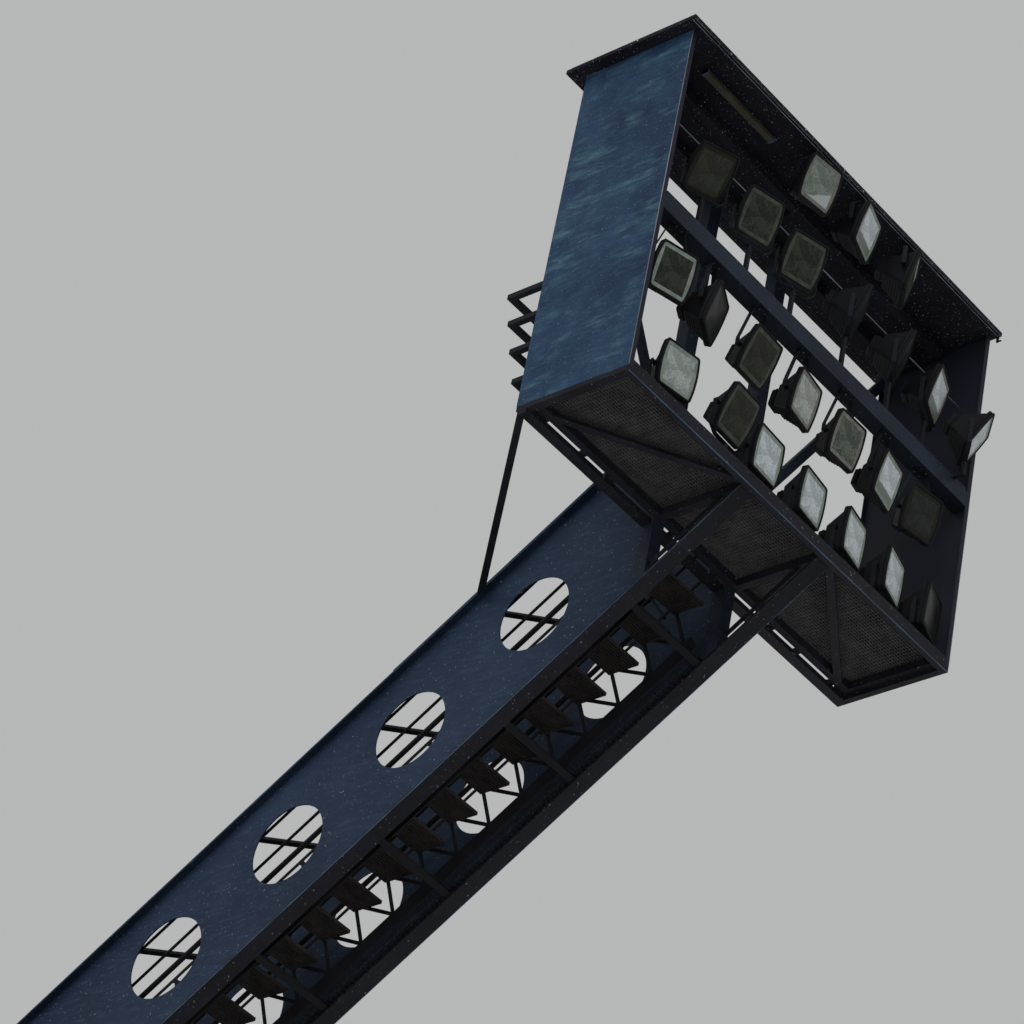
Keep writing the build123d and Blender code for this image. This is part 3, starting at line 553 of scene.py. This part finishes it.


# painted reflections: each lamp's border and glass are a paler or darker copy of one border and one glass, for the
# light that lamp reflects
lampGlasses = {
    "upper_lamp_1": (sealDark, glassDeep), "upper_lamp_2": (sealDim, glassOlive),
    "upper_lamp_3": (sealDim, glassOlive), "upper_lamp_4": (sealDark, glassDim),
    "upper_lamp_5": (sealDark, glassDim), "upper_lamp_6": (sealWarm, glassHalf),
    "upper_lamp_7": (sealPale, glassPale), "top_lamp_1": (sealWarm, glassLow),
    "top_lamp_2": (sealPale, glassHalf), "top_lamp_3": (sealDim, glassTip),
    "lower_lamp_1": (sealPale, glassOlive), "lower_lamp_2": (sealDark, glassDim),
    "lower_lamp_3": (sealDim, glassDeep), "lower_lamp_4": (sealWarm, glassGrey),
    "lower_lamp_5": (sealWarm, glassSage), "lower_lamp_6": (sealPale, glassHalf),
    "lower_lamp_7": (sealDark, glassDim), "bottom_lamp_1": (sealPale, glassGrey),
    "bottom_lamp_2": (sealDim, glassDeep), "bottom_lamp_7": (sealDark, glassDim),
}
housingPoints, housingFaces = joined([lampHousing(lampSettings), lampExtras(lampSettings)])
glassPoints, glassFaces, glassSlots = lampGlassMesh(lampSettings)
lampPivots = {}
for joint in frame["joints"]:
    lampName = joint["child"]
    across = np.array(joint["axis"], float)
    aim = lampAim(lampName, across)
    axes = np.stack([across, np.cross(aim, across), aim])
    pivot = np.array(joint["pos_m"], float)
    lampPivots[lampName] = pivot
    words = lampName.split("_")
    label = words[0] + "Lamp" + words[2]
    housing = addPiece(label + "Housing", pivot + housingPoints @ axes, housingFaces, housingPaint, lampName,
                       "lamp_housing")
    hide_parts(lampName)
    addPiece(label + "Glass", pivot + glassPoints @ axes, glassFaces,
             list(lampGlasses.get(lampName, (sealPale, glassPale))), lampName, "lamp_housing",
             faceSlots=glassSlots, flat=glassPoints[:, :2])
print("lamps made:", len(lampPivots))


# open mesh floors: bearing bars one way and thin rods the other, in place of the plain plates

walkwaySettings = {"pitchAcross": 0.0295, "pitchAlong": 0.042, "barThick": 0.005, "rodWide": 0.006, "rodTall": 0.020,
                   "frame": 0.004}
treadSettings = {"pitchAcross": 0.034, "pitchAlong": 0.038, "barThick": 0.004, "rodWide": 0.006, "rodTall": 0.012,
                 "frame": 0.005}


def gratingBars(low, high, s):
    # bars from side to side at the pitch across, rods on their tops at the pitch along, and a flat at each edge
    low, high = np.asarray(low), np.asarray(high)
    middle = (low + high) / 2
    half = (high - low) / 2
    bars = int((high[1] - low[1]) / s["pitchAcross"]) + 2
    crossRods = int((high[0] - low[0]) / s["pitchAlong"]) + 2
    ys = np.linspace(low[1] + s["frame"] / 2, high[1] - s["frame"] / 2, bars)
    xs = np.linspace(low[0] + s["frame"], high[0] - s["frame"], crossRods)
    longBars = boxes(np.stack([np.full_like(ys, middle[0]), ys, np.full_like(ys, middle[2])], 1),
                     [(half[0], s["barThick"] / 2, half[2])])
    rods = boxes(np.stack([xs, np.full_like(xs, middle[1]), np.full_like(xs, high[2] - s["rodTall"] / 2 - 0.001)], 1),
                 [(s["rodWide"] / 2, half[1] - 0.001, s["rodTall"] / 2)])
    ends = boxes([(low[0] + s["frame"] / 2, middle[1], middle[2]), (high[0] - s["frame"] / 2, middle[1], middle[2])],
                 [(s["frame"] / 2, half[1], half[2])])
    return joined([longBars, rods, ends])


def islandsOf(node, gap=0.05):
    # the boxes of a flight's separate treads: their levels along Z lie further apart than gap
    mesh = nodes[node].data
    points = np.zeros(len(mesh.vertices) * 3)
    mesh.vertices.foreach_get("co", points)
    points = points.reshape(-1, 3)
    levels = np.unique(points[:, 2].round(4))
    tops = levels[np.append(np.diff(levels) > gap, True)]
    lows = levels[np.insert(np.diff(levels) > gap, 0, True)]
    found = []
    for lowZ, topZ in zip(lows, tops):
        own = points[(points[:, 2] > lowZ - 0.001) & (points[:, 2] < topZ + 0.001)]
        found.append((own.min(0), own.max(0)))
    return found


grating = addPiece("walkwayMesh", *gratingBars(*boxOf("floor_grating"), walkwaySettings), gratingSteel, rootBody,
                   "grating_steel")
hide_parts("floor_grating")
for node, label in (("upper_treads", "upperTreadMesh"), ("lower_treads", "lowerTreadMesh")):
    flights = joined([gratingBars(lowest, highest, treadSettings) for lowest, highest in islandsOf(node)])
    treadPiece = addPiece(label, *flights, treadSteel, rootBody, "grating_steel")
    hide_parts(node)
print("open mesh floors made")


# fine trim and fastenings on the mast and the head. Its places come from the boxes of the CAD nodes, and
# mastSettings holds the girders' own sizes

panelLow, panelHigh = boxOf("left_side_panel")
roofLow, roofHigh = boxOf("roof_sheet")
beamLow, beamHigh = boxOf("mid_lamp_beam")
headFront, headZ, headHalf = panelLow[1], panelLow[2], -panelLow[0]
mastSettings = {"frontAhead": 0.060, "webMiddle": 0.535, "webThick": 0.012, "flangeHalf": 0.080, "flangeThick": 0.020,
                "depth": 1.460, "length": 10.02}


def onMast(x, depth, run):
    # depth is counted from the front flange's face, and run down the mast from the head floor
    x, depth, run = (np.asarray(value, float) for value in np.broadcast_arrays(x, depth, run))
    top = np.array([0, headFront + mastSettings["frontAhead"], headZ])
    return top + x[..., None] * acrossWay + depth[..., None] * backWay + run[..., None] * downMast


traySettings = {"side": 0.479, "wide": 0.080, "deep": 0.060, "low": 0.085, "start": 1.278, "end": 9.728,
                "pitch": 0.050, "rung": 0.016, "rail": 0.010, "sheet": 0.003}


def trayMesh(s):
    # a slotted channel: five rails along it, and at every pitch a rung across the base and one up each side
    runs = np.arange(s["start"] + s["rung"], s["end"], s["pitch"])
    middle, longHalf = (s["start"] + s["end"]) / 2, (s["end"] - s["start"]) / 2
    wall = s["wide"] / 2 - s["sheet"] / 2
    parts = []
    for side in (-1, 1):
        x = s["side"] + side * wall
        depths = s["low"] + np.array([s["rail"] / 2, s["deep"] - s["rail"] / 2])
        parts.append(boxes(onMast(x, depths, middle), [(s["sheet"] / 2, longHalf, s["rail"] / 2)], mastAxes))
        parts.append(boxes(onMast(x, s["low"] + s["deep"] / 2, runs),
                           [(s["sheet"] / 2 - 0.0002, s["rung"] / 2, s["deep"] / 2 - 0.001)], mastAxes))
    parts.append(boxes(onMast(s["side"], s["low"] + s["sheet"] / 2, middle),
                       [(s["rail"] / 2, longHalf, s["sheet"] / 2)], mastAxes))
    parts.append(boxes(onMast(s["side"], s["low"] + s["sheet"] / 2, runs),
                       [(s["wide"] / 2 - 0.001, s["rung"] / 2, s["sheet"] / 2 - 0.0002)], mastAxes))
    return joined(parts)


tray = addPiece("slottedTray", *trayMesh(traySettings), trayZinc, rootBody, "galvanised")
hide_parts("cable_tray")

# slim covers in place of the plain boxes on the left back flange
coverSettings = {"runs": (3.900, 6.300), "long": 0.260, "wide": 0.112, "deep": 0.026, "lid": 0.006, "lip": 0.004,
                 "screwAcross": 0.044, "screwAlong": 0.118, "screw": 0.006, "screwTall": 0.004}


def coverMesh(s):
    # a shallow tray and a lid over it, with four screws
    runs = np.array(s["runs"]) + s["long"] / 2
    x = -mastSettings["webMiddle"]
    foot = mastSettings["depth"]
    trays = boxes(onMast(x, foot + s["deep"] / 2, runs),
                  [(s["wide"] / 2 - s["lip"], s["long"] / 2 - s["lip"], s["deep"] / 2)], mastAxes)
    lids = boxes(onMast(x, foot + s["deep"] + s["lid"] / 2, runs), [(s["wide"] / 2, s["long"] / 2, s["lid"] / 2)],
                 mastAxes)
    spots = np.array([(i, j) for i in (-1, 1) for j in (-1, 1)])
    places = onMast(x + spots[:, 0] * s["screwAcross"], foot + s["deep"] + s["lid"],
                    runs[:, None] + spots[:, 1] * s["screwAlong"])
    screws = discs(places.reshape(-1, 3), backWay, acrossWay, s["screw"], s["screwTall"], 6)
    return joined([trays, lids, screws])


covers = addPiece("flangeCovers", *coverMesh(coverSettings), boxPlastic, rootBody, "box_plastic")
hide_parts("junction_boxes")


# edges, welds, the roof's gutter and the lamp beam's duct

def straightRod(start, end, radius, sides=8):
    return tubeAlong(np.linspace(start, end, 2), radius, sides)


trimSettings = {"edgeRadius": 0.005, "foldRadius": 0.0035, "roofRadius": 0.003, "railRadius": 0.005,
                "railBack": 0.175, "railHigh": 2.875, "weldRadius": 0.006, "gutter": 0.060, "lap": 0.030,
                "duct": 0.038}


def edgeTrim(s):
    # pale rods along rolled edges, painted as highlights: each front flange's outer edge and the floor's front lower
    # edge
    m = mastSettings
    outer = m["webMiddle"] + m["flangeHalf"]
    rods = [straightRod(onMast(side * outer, 0.004, 0.03), onMast(side * outer, 0.004, m["length"] - 0.08),
                        s["edgeRadius"]) for side in (-1, 1)]
    low = headZ - 0.050
    rods.append(straightRod((-headHalf + 0.01, headFront + 0.002, low), (headHalf - 0.01, headFront + 0.002, low),
                            s["edgeRadius"]))
    return joined(rods)


def foldTrim(s):
    # pale rods painted as highlights: the folds of the side panels' front edges, and the drip edge and lap under the
    # roof's front
    rods = [straightRod((side * headHalf, headFront + 0.001, headZ + 0.005),
                        (side * headHalf, headFront + 0.001, panelHigh[2] - 0.005), s["foldRadius"])
            for side in (-1, 1)]
    for y, z in ((roofLow[1] + 0.004, roofLow[2] + 0.002), (roofLow[1] + 0.032, roofLow[2] - 0.001)):
        rods.append(straightRod((roofLow[0] + 0.006, y, z), (roofHigh[0] - 0.006, y, z), s["roofRadius"]))
    return joined(rods)


def lampRail(s):
    # a thin rail behind the upper lamps, from one side panel to the other
    y, z = headFront + s["railBack"], headZ + s["railHigh"]
    return straightRod((-headHalf + 0.006, y, z), (headHalf - 0.006, y, z), s["railRadius"])


def webWelds(s):
    # fillet welds where each web meets its flanges, on the outer side
    m = mastSettings
    rods = []
    for side in (-1, 1):
        x = side * (m["webMiddle"] + m["webThick"] / 2)
        for depth, start in ((m["flangeThick"], 1.75), (m["depth"] - m["flangeThick"], 0.45)):
            rods.append(straightRod(onMast(x, depth, start), onMast(x, depth, m["length"] - 0.02), s["weldRadius"], 6))
    return joined(rods)


def roofGutter(s):
    # a channel along the roof's back edge, lapped under it: its floor, its back wall and its two end plates
    wall = 0.0015
    low = np.array([roofLow[0], roofHigh[1] - s["lap"], roofLow[2] - 2 * wall])
    high = np.array([roofHigh[0], roofHigh[1] + s["gutter"], roofHigh[2]])
    middle, half = (low + high) / 2, (high - low) / 2
    return boxes([(middle[0], middle[1], low[2] + wall), (middle[0], high[1] - wall, middle[2]),
                  (low[0] + wall, high[1] - s["gutter"] / 2, middle[2]),
                  (high[0] - wall, high[1] - s["gutter"] / 2, middle[2])],
                 [(half[0], half[1], wall), (half[0], wall, half[2] - 2 * wall),
                  (wall, s["gutter"] / 2 - 2 * wall, half[2] - 2 * wall),
                  (wall, s["gutter"] / 2 - 2 * wall, half[2] - 2 * wall)])


def beamDuct(s):
    # a cable duct on the front half of the lamp beam's top, in three lengths with a joint cover between them
    tall = s["duct"]
    y, z = beamLow[1] + 0.006 + tall / 2, beamHigh[2] + tall / 2
    ends = np.linspace(beamLow[0] + 0.06, beamHigh[0] - 0.06, 4)
    middle = (ends[1:] + ends[:-1]) / 2
    lengths = boxes(np.stack([middle, np.full(3, y), np.full(3, z)], 1),
                    [((ends[1] - ends[0]) / 2, tall / 2, tall / 2)])
    covers = boxes(np.stack([ends[1:-1], np.full(2, y), np.full(2, z + 0.001)], 1),
                   [(0.05, tall / 2 + 0.002, tall / 2 + 0.001)])
    return joined([lengths, covers])


addPiece("roofGutter", *roofGutter(trimSettings), roofPaint, rootBody, "roof_paint")
addPiece("beamDuct", *beamDuct(trimSettings), framePaint, rootBody, "dark_steel")
addPiece("wornEdges", *edgeTrim(trimSettings), wornEdge, rootBody, "blue_paint", smooth=True)
addPiece("bareFolds", *foldTrim(trimSettings), wornPale, rootBody, "panel_paint", smooth=True)
addPiece("lampRail", *lampRail(trimSettings), wornPale, rootBody, "dark_steel", smooth=True)
addPiece("webWelds", *webWelds(trimSettings), girderPaint, rootBody, "blue_paint", smooth=True)
print("edges and welds made")


# bolts, plates, sleeves and caps

fixingSettings = {"anchorEdge": 0.050, "anchorRows": 6, "nut": 0.026, "stud": 0.015, "studTall": 0.075,
                  "plateHalf": 0.048, "plateThick": 0.008, "standBolt": 0.006, "boltTall": 0.009, "screwPitch": 0.30,
                  "screwInset": 0.028, "screw": 0.007, "screwTall": 0.003}


def anchorBolts(s):
    # at each hole of the base plate a washer, a hexagonal nut and the stud's end, one above the other
    low, high = boxOf("base_plate")
    ys = np.linspace(low[1] + s["anchorEdge"], high[1] - s["anchorEdge"], s["anchorRows"])
    places = np.array([(x, y, high[2]) for x in (low[0] + s["anchorEdge"], high[0] - s["anchorEdge"]) for y in ys])
    up, across = (0, 0, 1.0), (1.0, 0, 0)
    lift = np.array([0, 0, 1.0])
    return joined([
        discs(places, up, across, s["nut"] * 1.25, 0.004, 16),
        discs(places + 0.004 * lift, up, across, s["nut"], 0.026, 6),
        discs(places + (low[2] - high[2] + 0.001) * lift, up, across, s["stud"], high[2] - low[2] + s["studTall"], 12),
    ])


def standPlates(s):
    # a small plate with four bolts where each upper stand meets the beam's top and each lower one its underside
    spots = []
    for name, pivot in lampPivots.items():
        if name.startswith("upper"):
            spots.append((pivot[0], beamHigh[2], 1))
        elif name.startswith("lower"):
            spots.append((pivot[0], beamLow[2], -1))
    spots = np.array(spots)
    way = spots[:, 2:3]
    y = np.full(len(spots), (beamLow[1] + beamHigh[1]) / 2)
    centres = np.stack([spots[:, 0], y, spots[:, 1]], 1)
    plates = boxes(centres + [0, 0, s["plateThick"] / 2] * way, [(s["plateHalf"], s["plateHalf"], s["plateThick"] / 2)])
    corners = 0.75 * s["plateHalf"] * np.array([(i, j, 0) for i in (-1, 1) for j in (-1, 1)])
    heads = (centres + [0, 0, s["plateThick"]] * way)[:, None] + corners
    axis = np.repeat(np.concatenate([0 * way, 0 * way, way], 1), 4, 0)
    return plates, discs(heads.reshape(-1, 3), axis, (1.0, 0, 0), s["standBolt"], s["boltTall"], 6)


def panelScrews(s):
    # a row of flat heads down the front and the back of each side panel
    zs = np.arange(headZ + 0.12, panelHigh[2] - 0.05, s["screwPitch"])
    ys = (panelLow[1] + s["screwInset"], panelHigh[1] - s["screwInset"])
    places = np.array([(side * headHalf, y, z) for side in (-1, 1) for y in ys for z in zs])
    axis = np.sign(places[:, :1]) * [1.0, 0, 0]
    return discs(places, axis, (0, 1.0, 0), s["screw"], s["screwTall"], 8)


plateMesh, plateBolts = standPlates(fixingSettings)
addPiece("anchorBolts", *anchorBolts(fixingSettings), boltSteel, rootBody, "galvanised")
addPiece("standPlates", *plateMesh, darkSteel, rootBody, "dark_steel")
addPiece("standBolts", *joined([plateBolts, panelScrews(fixingSettings)]), boltSteel, rootBody, "galvanised")

railSettings = {"side": 0.3685, "posts": 6, "firstRun": 1.380, "pitch": 1.440, "heights": (1.040, 1.340),
                "radius": 0.019, "long": 0.080}


def railSleeves(s):
    # short sleeves round the knee rail and the hand rail at each post
    runs = s["firstRun"] + s["pitch"] * np.arange(s["posts"]) - s["long"] / 2
    places = np.concatenate([onMast(side * s["side"], height, runs) for side in (-1, 1) for height in s["heights"]])
    return discs(places, downMast, acrossWay, s["radius"], s["long"], 10)


addPiece("railSleeves", *railSleeves(railSettings), stairPaint, rootBody, "dark_steel")

battenSettings = {"cap": 0.030, "proud": 0.003, "clip": 0.012}


def battenCaps(s):
    # end caps a little larger than the batten, and two spring clips round it
    low, high = boxOf("strip_light")
    middle, half = (low + high) / 2, (high - low) / 2
    ends = np.array([low[0] + s["cap"] / 2, high[0] - s["cap"] / 2])
    caps = boxes(np.stack([ends, np.full(2, middle[1]), np.full(2, middle[2] - s["proud"] / 2)], 1),
                 [(s["cap"] / 2, half[1] + s["proud"], half[2] + s["proud"] / 2)])
    clipX = middle[0] + np.array([-0.25, 0.25]) * (high[0] - low[0])
    clips = boxes(np.stack([clipX, np.full(2, middle[1]), np.full(2, middle[2] - s["proud"] / 2)], 1),
                  [(s["clip"] / 2, half[1] + s["proud"], half[2] + s["proud"] / 2)])
    return joined([caps, clips])


addPiece("battenCaps", *battenCaps(battenSettings), boxPlastic, rootBody, "batten_plastic")
# a small bent hook under the roof's front right corner, as an upright and a foot
hookLow = np.array([roofHigh[0] - 0.016, roofLow[1] + 0.004, roofLow[2] - 0.060])
addPiece("gutterHook", *joined([
    boxes([hookLow + (0.006, 0.030, 0.030)], [(0.006, 0.012, 0.032)]),
    boxes([hookLow + (0.006, 0.016, 0.004)], [(0.006, 0.026, 0.005)]),
]), roofPaint, rootBody, "roof_paint")
print("fastenings made")


# floor, background and light

stageSettings = {"floorSize": 60.0, "floorTone": (0.72, 0.72, 0.71), "skyTone": 0.475, "skyLight": 1.0,
                 "groundLight": 0.12}


def makeStage(s):
    bpy.ops.mesh.primitive_plane_add(size=s["floorSize"], location=(0, 0, cadBox[0][2] - 0.002))
    floor = bpy.context.object
    floor.name = "floor"
    material, tree, shader = newMaterial("floorPaint")
    shader.inputs["Base Color"].default_value = (*s["floorTone"], 1)
    shader.inputs["Roughness"].default_value = 0.8
    clear = tree.nodes.new("ShaderNodeBsdfTransparent")
    facing = tree.nodes.new("ShaderNodeNewGeometry")
    blend = tree.nodes.new("ShaderNodeMixShader")
    tree.links.new(facing.outputs["Backfacing"], blend.inputs["Fac"])
    tree.links.new(shader.outputs["BSDF"], blend.inputs[1])
    tree.links.new(clear.outputs["BSDF"], blend.inputs[2])
    tree.links.new(blend.outputs["Shader"], tree.nodes["Material Output"].inputs["Surface"])
    floor.data.materials.append(material)


def makeWorld(s):
    # the camera, gloss and glass see one pale grey, and the light is stronger from above than from below
    world = bpy.data.worlds.new("overcast")
    scene.world = world
    world.use_nodes = True
    tree = world.node_tree
    tree.nodes.clear()
    path = tree.nodes.new("ShaderNodeLightPath")
    seen = tree.nodes.new("ShaderNodeBackground")
    seen.inputs["Color"].default_value = (s["skyTone"], s["skyTone"] * 1.005, s["skyTone"] * 1.01, 1)
    lit = tree.nodes.new("ShaderNodeBackground")
    place = tree.nodes.new("ShaderNodeTexCoord")
    split = tree.nodes.new("ShaderNodeSeparateXYZ")
    tree.links.new(place.outputs["Generated"], split.inputs["Vector"])
    spread = tree.nodes.new("ShaderNodeMapRange")
    spread.inputs["From Min"].default_value = -0.3
    spread.inputs["From Max"].default_value = 0.4
    spread.inputs["To Min"].default_value = s["groundLight"]
    spread.inputs["To Max"].default_value = s["skyLight"]
    tree.links.new(split.outputs["Z"], spread.inputs["Value"])
    lit.inputs["Color"].default_value = (0.95, 0.97, 1.0, 1)
    tree.links.new(spread.outputs["Result"], lit.inputs["Strength"])
    either = path.outputs["Is Camera Ray"]
    for kind in ("Is Transmission Ray", "Is Glossy Ray"):
        larger = tree.nodes.new("ShaderNodeMath")
        larger.operation = "MAXIMUM"
        tree.links.new(either, larger.inputs[0])
        tree.links.new(path.outputs[kind], larger.inputs[1])
        either = larger.outputs["Value"]
    mix = tree.nodes.new("ShaderNodeMixShader")
    tree.links.new(either, mix.inputs["Fac"])
    tree.links.new(lit.outputs["Background"], mix.inputs[1])
    tree.links.new(seen.outputs["Background"], mix.inputs[2])
    output = tree.nodes.new("ShaderNodeOutputWorld")
    tree.links.new(mix.outputs["Shader"], output.inputs["Surface"])


# heading is counted from -Y towards -X, so this sun lights the left side panel
sunSettings = {"name": "softSun", "heading": 75, "climb": 35, "strength": 0.9, "softness": 60}


def addSun(s):
    light = bpy.data.lights.new(s["name"], "SUN")
    light.energy = s["strength"]
    light.angle = math.radians(s["softness"])
    lamp = bpy.data.objects.new(s["name"], light)
    scene.collection.objects.link(lamp)
    a, e = math.radians(s["heading"]), math.radians(s["climb"])
    towards = Vector((-math.sin(a) * math.cos(e), -math.cos(a) * math.cos(e), math.sin(e)))
    lamp.rotation_euler = towards.to_track_quat("Z", "Y").to_euler()


makeStage(stageSettings)
makeWorld(stageSettings)
addSun(sunSettings)

# camera at the photograph's place: heading from +Y towards +X, climb above level, and roll
cameraSettings = {"place": (-20.857, -27.858, -15.486), "heading": 43.987, "climb": 36.850, "roll": 11.819,
                  "lens": 149.33}


def makeCamera(s):
    data = bpy.data.cameras.new("viewer")
    data.lens = s["lens"]
    data.sensor_width = 36
    data.clip_end = 500
    camera = bpy.data.objects.new("viewer", data)
    scene.collection.objects.link(camera)
    a, e, r = math.radians(s["heading"]), math.radians(s["climb"]), math.radians(s["roll"])
    ahead = Vector((math.sin(a) * math.cos(e), math.cos(a) * math.cos(e), math.sin(e)))
    level = Vector((math.cos(a), -math.sin(a), 0))
    upright = level.cross(ahead)
    right = math.cos(r) * level + math.sin(r) * upright
    up = right.cross(ahead)
    camera.matrix_world = Matrix.Translation(s["place"]) @ Matrix((right, up, -ahead)).transposed().to_4x4()
    scene.camera = camera


makeCamera(cameraSettings)
scene.view_settings.view_transform = "Standard"
print("stage, light and camera made")
